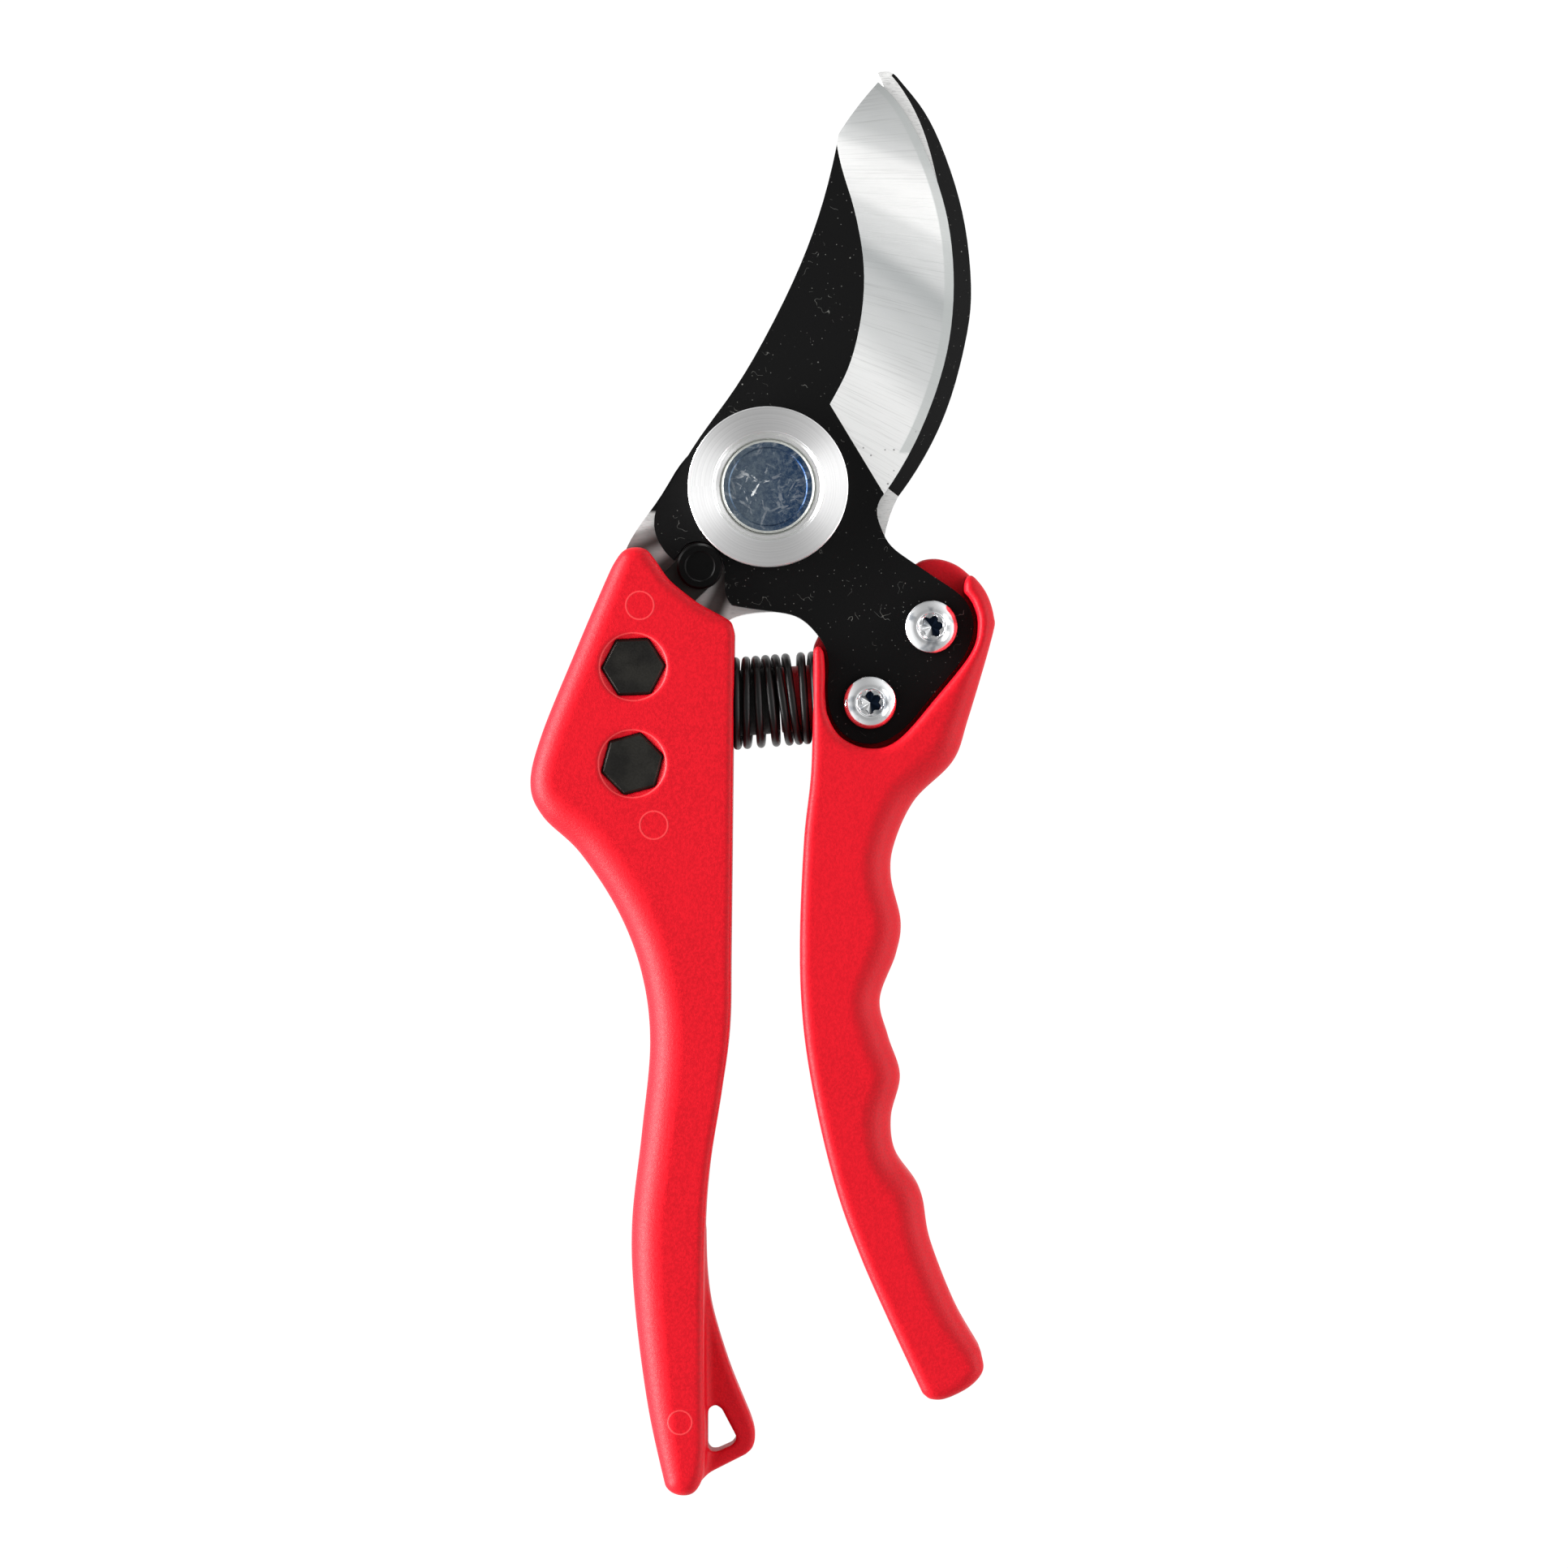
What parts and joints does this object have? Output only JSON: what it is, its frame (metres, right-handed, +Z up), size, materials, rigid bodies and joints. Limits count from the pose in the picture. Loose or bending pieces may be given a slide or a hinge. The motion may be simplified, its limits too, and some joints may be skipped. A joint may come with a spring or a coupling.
{
  "type": "pruning shears",
  "caption": "Bypass pruning shears with a curved cutting blade and hook, moulded grips, a coil spring between them and a catch that locks them closed.",
  "frame": {"origin": "on the pivot axis, at the back face of the pivot bolt, which is the plane that the shears lie on", "axes": "+Z up from the rest plane to the front of the shears, +Y from the pivot along the closed blades to their tips, +X towards the handle that moves"},
  "size_m": [0.0668, 0.2054, 0.016],
  "materials": {
    "red_nylon": "fine moulded grain, satin",
    "blade_steel": "black low-friction coating, ground steel bevel",
    "counter_steel": "bright steel with a dark sloping rim",
    "turned_collar": "fine turned, bright",
    "zinc_steel": "clear zinc plated, satin",
    "bright_zinc": "bright plated",
    "bronze": "sintered bronze, oiled",
    "black_oxide": "black oxide, satin",
    "spring_steel": "dark drawn wire, oiled",
    "black_rubber": "matt moulded rubber"
  },
  "bodies": {
    "fixed_half": {"counter_blade": "counter_steel", "pivot_collar": "turned_collar", "pivot_bolt": "zinc_steel", "pivot_bush": "bronze", "pivot_washer": "zinc_steel", "pivot_nut": "zinc_steel", "left_handle": "red_nylon", "upper_handle_bolt": "black_oxide", "lower_handle_bolt": "black_oxide", "upper_handle_nut": "zinc_steel", "lower_handle_nut": "zinc_steel", "catch_pin": "zinc_steel", "catch_washer": "spring_steel", "spring": "spring_steel", "spring_bumper": "black_rubber"},
    "moving_half": {"cutting_blade": "blade_steel", "right_handle": "red_nylon", "upper_blade_screw": "bright_zinc", "lower_blade_screw": "bright_zinc", "upper_blade_nut": "zinc_steel", "lower_blade_nut": "zinc_steel"},
    "catch": {"catch_lever": "black_oxide", "catch_button": "black_oxide"}
  },
  "joints": [
    {"name": "blade_pivot", "type": "hinge", "parent": "fixed_half", "child": "moving_half", "pos_m": [0, 0, 0.01], "axis": [0, 0, 1], "range_deg": [0, 26], "deforming": ["spring"]},
    {"name": "catch_pivot", "type": "hinge", "parent": "fixed_half", "child": "catch", "pos_m": [-0.01843, -0.01974, 0.01], "axis": [0, 0, -1], "range_deg": [0, 45]}
  ],
  "couplings": [
    {"joint": "catch_pivot", "follows": "blade_pivot", "ratio": 1.7}
  ]
}
